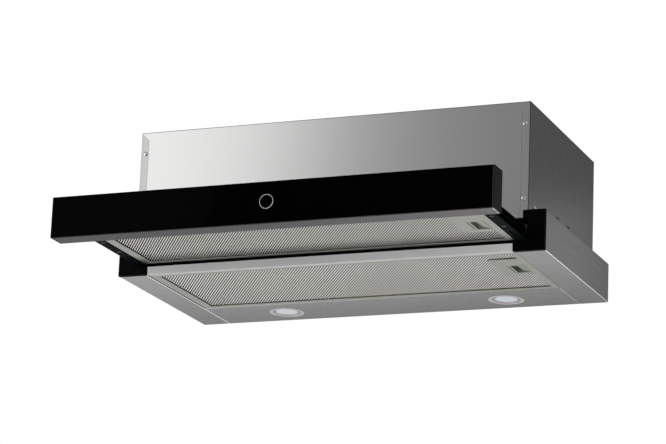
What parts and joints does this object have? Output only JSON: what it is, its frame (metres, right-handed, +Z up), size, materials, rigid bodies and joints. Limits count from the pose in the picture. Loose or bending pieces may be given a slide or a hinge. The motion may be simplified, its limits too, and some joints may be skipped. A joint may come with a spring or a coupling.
{
  "type": "pull out range hood",
  "caption": "Pull-out range hood with a glass-fronted drawer on ball runners, slotted grease filters with latches, lamps, a centrifugal fan and a duct collar with flaps.",
  "frame": {"origin": "on the wall plane, at the middle of the hood, level with its underside", "axes": "+X to the right as one faces the hood, +Z up, and the hood reaches from the wall towards -Y"},
  "size_m": [0.6, 0.482, 0.228],
  "materials": {
    "stainless": "satin brushed stainless steel",
    "bar_aluminium": "satin anodised",
    "galvanised": "galvanised sheet",
    "black_steel": "black, satin",
    "panel_steel": "grey, satin",
    "filter_aluminium": "expanded and folded aluminium",
    "latch_plastic": "grey",
    "black_plastic": "black",
    "white_plastic": "white",
    "board": "green circuit board",
    "black_glass": "opaque black gloss",
    "light_ring": "pale ring",
    "lamp_reflector": "dark satin",
    "lamp_lens": "frosted",
    "lamp_heat_sink": "cast"
  },
  "bodies": {
    "housing": {"front_plate": "stainless", "side_panel_left": "stainless", "side_panel_right": "stainless", "top_plate": "stainless", "back_plate": "stainless", "base_side_left": "stainless", "base_side_right": "stainless", "lamp_panel": "stainless", "front_bar": "bar_aluminium", "corner_cap_left": "black_plastic", "corner_cap_right": "black_plastic", "partition_plate": "galvanised", "runner_outer_left": "galvanised", "runner_outer_right": "galvanised", "main_filter_frame": "filter_aluminium", "main_filter_mesh": "filter_aluminium", "main_latch_spring": "galvanised", "lamp_bezels": "stainless", "lamp_rings": "lamp_reflector", "lamp_lenses": "lamp_lens", "lamp_bodies": "lamp_heat_sink", "scroll_wall": "galvanised", "scroll_side_left": "galvanised", "scroll_side_right": "galvanised", "motor": "galvanised", "motor_bracket": "black_steel", "capacitor": "white_plastic", "outlet_collar": "black_plastic", "flap_rod": "galvanised", "control_box": "white_plastic", "control_lid": "white_plastic", "control_board": "board", "terminal_block": "white_plastic", "cable_gland": "black_plastic", "drawer_sensor": "white_plastic", "front_screws": "stainless", "side_screws": "stainless"},
    "drawer": {"glass_front": "black_glass", "panel_carrier": "panel_steel", "end_cap_left": "black_plastic", "end_cap_right": "black_plastic", "touch_board": "board", "touch_ring": "light_ring", "drawer_side_left": "black_steel", "drawer_side_right": "black_steel", "drawer_top": "stainless", "drawer_rear_bar": "black_steel", "runner_inner_left": "black_steel", "runner_inner_right": "black_steel", "drawer_screws": "stainless", "drawer_filter_frame": "filter_aluminium", "drawer_filter_mesh": "filter_aluminium", "drawer_latch_spring": "galvanised"},
    "runner_cages": {"runner_cages": "galvanised"},
    "main_latch": {"main_latch": "latch_plastic"},
    "drawer_latch": {"drawer_latch": "latch_plastic"},
    "fan_wheel": {"impeller": "black_plastic", "fan_shaft": "galvanised"},
    "flap_front": {"flap_front": "black_plastic"},
    "flap_rear": {"flap_rear": "black_plastic"}
  },
  "joints": [
    {"name": "drawer_slide", "type": "slide", "parent": "housing", "child": "drawer", "axis": [0, -1, 0], "range_m": [-0.1695, 0]},
    {"name": "cage_slide", "type": "slide", "parent": "housing", "child": "runner_cages", "axis": [0, -1, 0], "range_m": [-0.08475, 0]},
    {"name": "main_latch_slide", "type": "slide", "parent": "housing", "child": "main_latch", "axis": [-1, 0, 0], "range_m": [0, 0.004], "stiffness_N_per_m": 400, "springref_m": -0.004, "deforming": ["main_latch_spring"]},
    {"name": "drawer_latch_slide", "type": "slide", "parent": "drawer", "child": "drawer_latch", "axis": [-1, 0, 0], "range_m": [0, 0.004], "stiffness_N_per_m": 400, "springref_m": -0.004, "deforming": ["drawer_latch_spring"]},
    {"name": "fan_spin", "type": "hinge", "parent": "housing", "child": "fan_wheel", "pos_m": [0, -0.156, 0.13175], "axis": [1, 0, 0], "continuous": true},
    {"name": "flap_front_swing", "type": "hinge", "parent": "housing", "child": "flap_front", "pos_m": [0, -0.10733, 0.208], "axis": [-1, 0, 0], "range_deg": [0, 75]},
    {"name": "flap_rear_swing", "type": "hinge", "parent": "housing", "child": "flap_rear", "pos_m": [0, -0.10733, 0.208], "axis": [1, 0, 0], "range_deg": [0, 75]}
  ],
  "couplings": [
    {"joint": "cage_slide", "follows": "drawer_slide", "ratio": 0.5}
  ]
}
